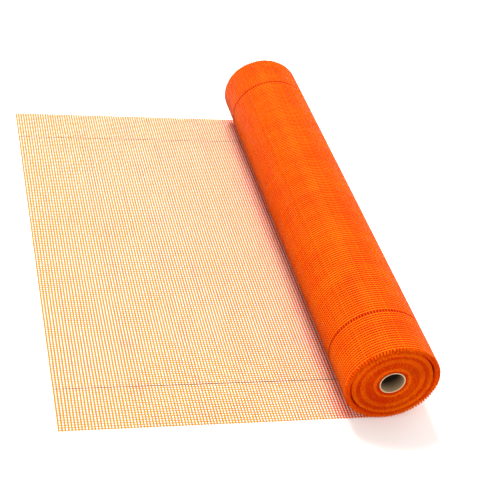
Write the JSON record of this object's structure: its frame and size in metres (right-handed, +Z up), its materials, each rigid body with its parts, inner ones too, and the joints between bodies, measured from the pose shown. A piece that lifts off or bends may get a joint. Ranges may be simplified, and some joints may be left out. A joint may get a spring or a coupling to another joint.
{
  "type": "roll of fiberglass mesh",
  "caption": "Roll of orange coated glass-fibre facade mesh on a cardboard tube, lying on its side with the end of the web unrolled flat.",
  "frame": {"origin": "on the floor, under the middle of the whole outline, tail included", "axes": "+Y along the roll's axis and the width of the web, -X the way that the unrolled tail lies, +Z up"},
  "size_m": [0.6632, 1, 0.1682],
  "materials": {
    "coated_mesh": "glass-fibre yarns in a glossy orange polymer coating",
    "cardboard": "plain brown spiral-wound cardboard, matte"
  },
  "bodies": {
    "root": {"mesh_web": "coated_mesh", "core_tube": "cardboard"}
  },
  "joints": []
}
